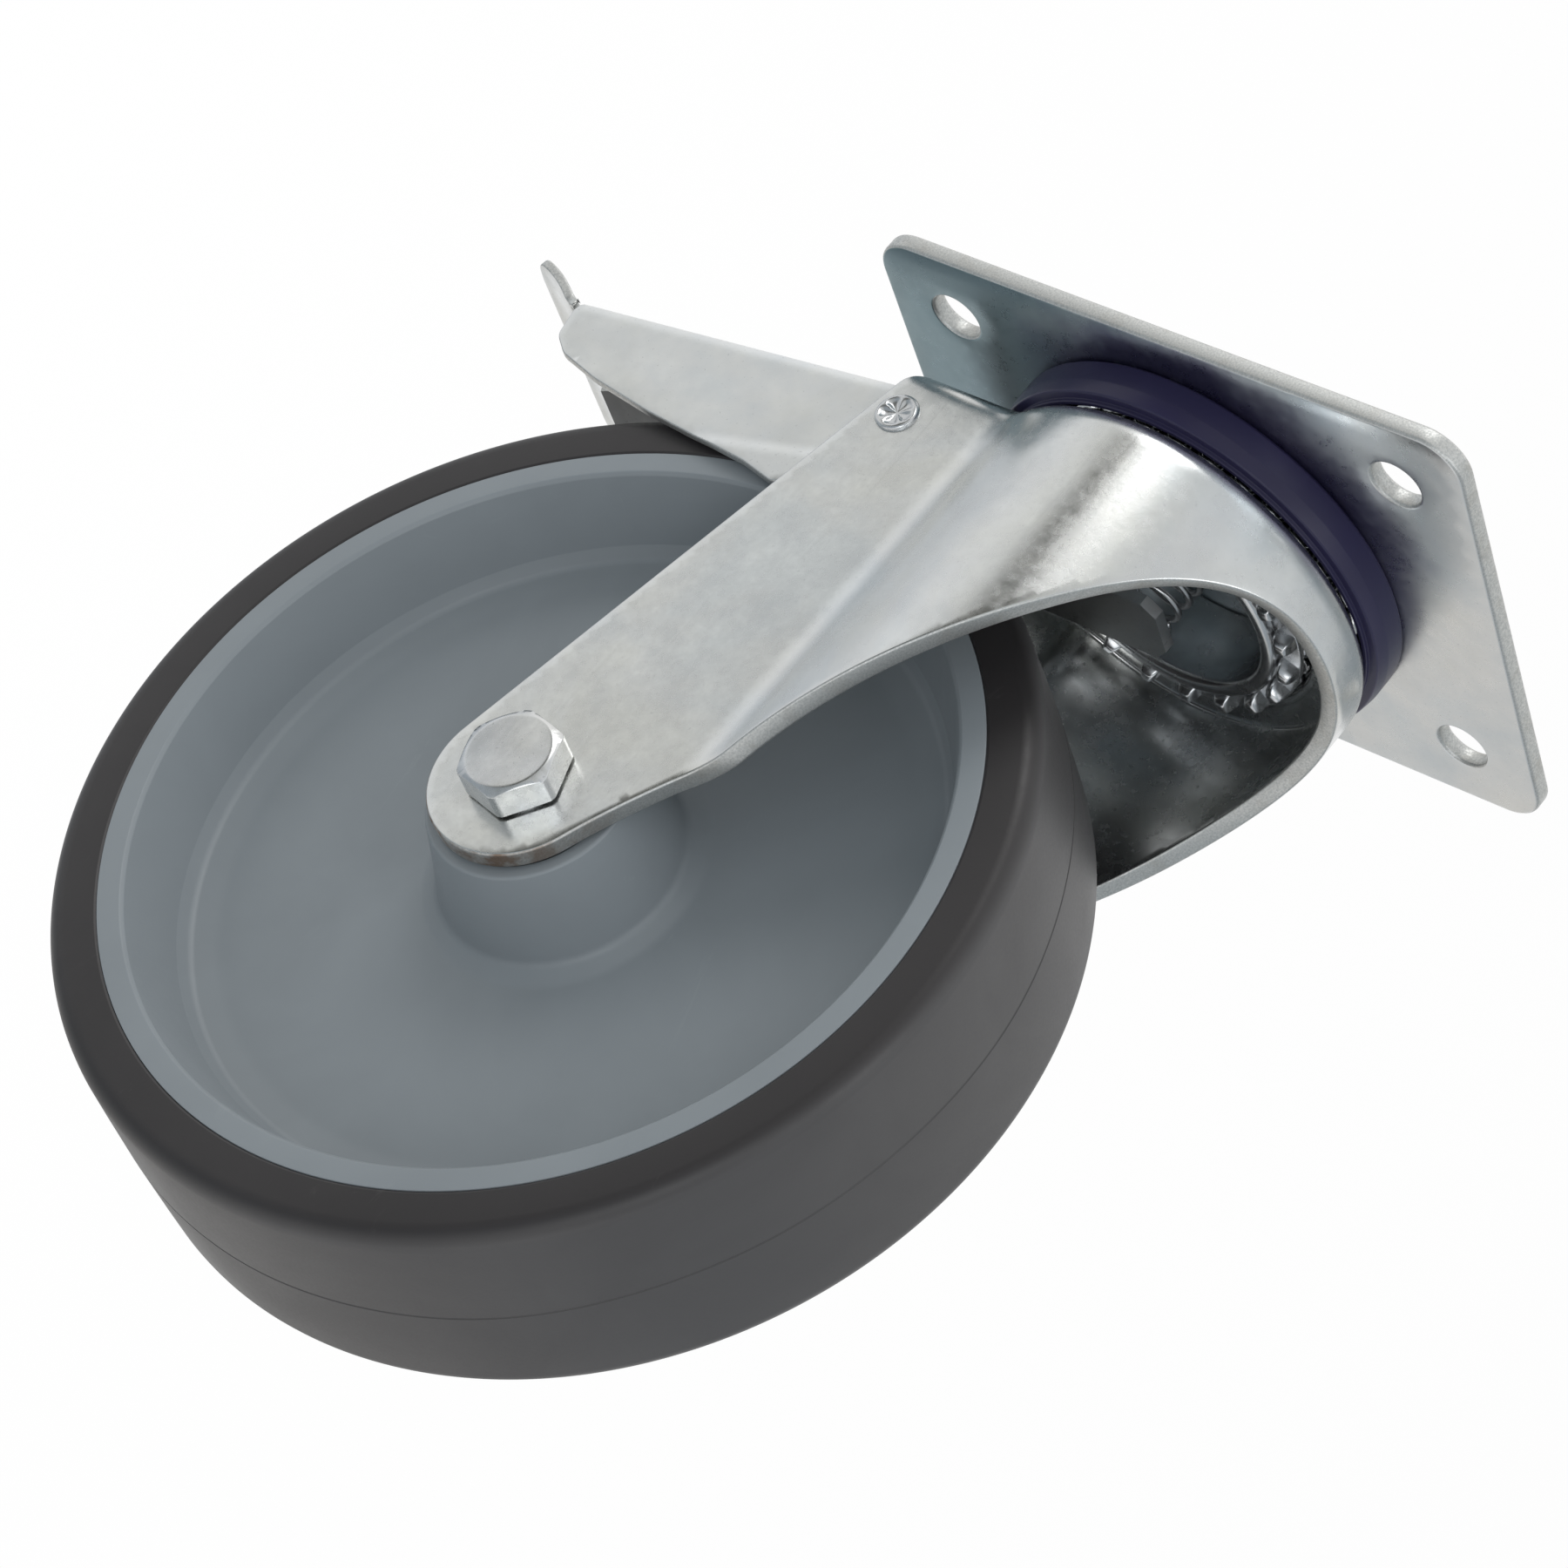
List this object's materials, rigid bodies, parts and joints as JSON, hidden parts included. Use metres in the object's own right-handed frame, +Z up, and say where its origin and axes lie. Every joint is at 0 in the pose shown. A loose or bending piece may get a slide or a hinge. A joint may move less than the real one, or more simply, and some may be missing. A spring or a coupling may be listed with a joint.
{
  "type": "gate wheel",
  "caption": "Plate-mounted swivel castor for a gate, with a pressed steel fork, a grey plastic wheel with a rubber tread, and a foot pedal that locks wheel and swivel.",
  "frame": {"origin": "centre of the top plate's upper face, on the swivel axis", "axes": "+Z up out of the plate's upper face, +X the way the castor rolls (the wheel trails on -X), +Y sideways, away from the axle bolt's head"},
  "size_m": [0.232, 0.11, 0.232],
  "materials": {
    "zinc_sheet": "zinc-plated pressed sheet, satin to glossy",
    "zinc_plate": "zinc-plated rolled plate, bluish",
    "zinc_pedal": "zinc-plated pressed sheet, pale",
    "zinc_bolt": "zinc-plated fastener, glossy",
    "bright_steel": "turned and hardened steel",
    "ball_steel": "polished",
    "spring_steel": "drawn wire",
    "seal_plastic": "dark navy moulded plastic",
    "wheel_plastic": "mid grey moulded polypropylene, satin",
    "tread_rubber": "dark grey solid rubber",
    "seal_rubber": "black",
    "nylon": "off-white"
  },
  "bodies": {
    "plate": {"top_plate": "zinc_plate", "king_pin": "bright_steel", "lock_ring": "bright_steel", "upper_race": "bright_steel", "seal_ring": "seal_plastic"},
    "fork": {"fork": "zinc_sheet", "upper_balls": "ball_steel", "lower_balls": "ball_steel", "axle_bolt": "zinc_bolt", "axle_nut": "zinc_bolt", "nut_insert": "nylon", "axle_tube": "bright_steel", "bearing_spacer": "bright_steel", "side_washers": "bright_steel", "near_inner_ring": "bright_steel", "far_inner_ring": "bright_steel", "pivot_pin": "zinc_bolt", "lock_spring": "spring_steel"},
    "wheel": {"wheel_centre": "wheel_plastic", "tread": "tread_rubber", "near_outer_ring": "bright_steel", "far_outer_ring": "bright_steel", "near_bearing_balls": "ball_steel", "far_bearing_balls": "ball_steel", "near_bearing_seals": "seal_rubber", "far_bearing_seals": "seal_rubber"},
    "pedal": {"pedal": "zinc_pedal", "brake_shoe": "zinc_pedal", "shoe_rivets": "zinc_bolt", "lock_plate": "zinc_pedal"}
  },
  "joints": [
    {"name": "swivel", "type": "hinge", "parent": "plate", "child": "fork", "pos_m": [0, 0, 0], "axis": [0, 0, 1], "continuous": true},
    {"name": "wheel_spin", "type": "hinge", "parent": "fork", "child": "wheel", "pos_m": [-0.063, 0, -0.132], "axis": [0, 1, 0], "continuous": true},
    {"name": "pedal_press", "type": "hinge", "parent": "fork", "child": "pedal", "pos_m": [-0.0523, 0, -0.0261], "axis": [0, -1, 0], "range_deg": [0, 8.5], "deforming": ["lock_spring"]}
  ]
}
